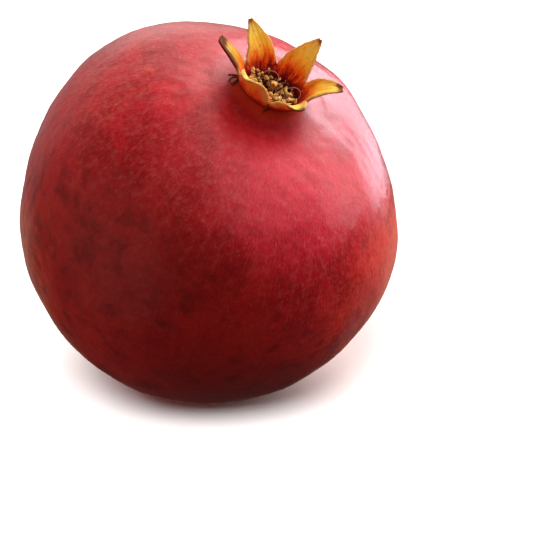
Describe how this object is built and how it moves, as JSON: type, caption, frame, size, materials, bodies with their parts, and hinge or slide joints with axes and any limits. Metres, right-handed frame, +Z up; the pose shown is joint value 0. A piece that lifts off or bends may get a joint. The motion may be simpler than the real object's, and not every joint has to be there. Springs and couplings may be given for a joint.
{
  "type": "pomegranate",
  "caption": "Whole ripe pomegranate lying on its side with an open crown of pointed sepals, dried stamens and a cut stalk stub.",
  "frame": {"origin": "middle of the small flat that the fruit rests on, at the level of the table", "axes": "+Z up, square to the table; the crown leans from the vertical towards +X and -Y"},
  "size_m": [0.1062, 0.1061, 0.1128],
  "materials": {
    "rind": "satin, mottled crimson fruit skin",
    "calyx": "dry leathery sepals, golden with maroon roots and brown tips",
    "stamens": "dry and dusty, tan-yellow",
    "style": "dry, matt brown",
    "stem_stub": "rough bark with a paler cut end"
  },
  "bodies": {
    "root": {"rind": "rind", "calyx": "calyx", "stamens": "stamens", "style": "style", "stem_stub": "stem_stub"}
  },
  "joints": []
}
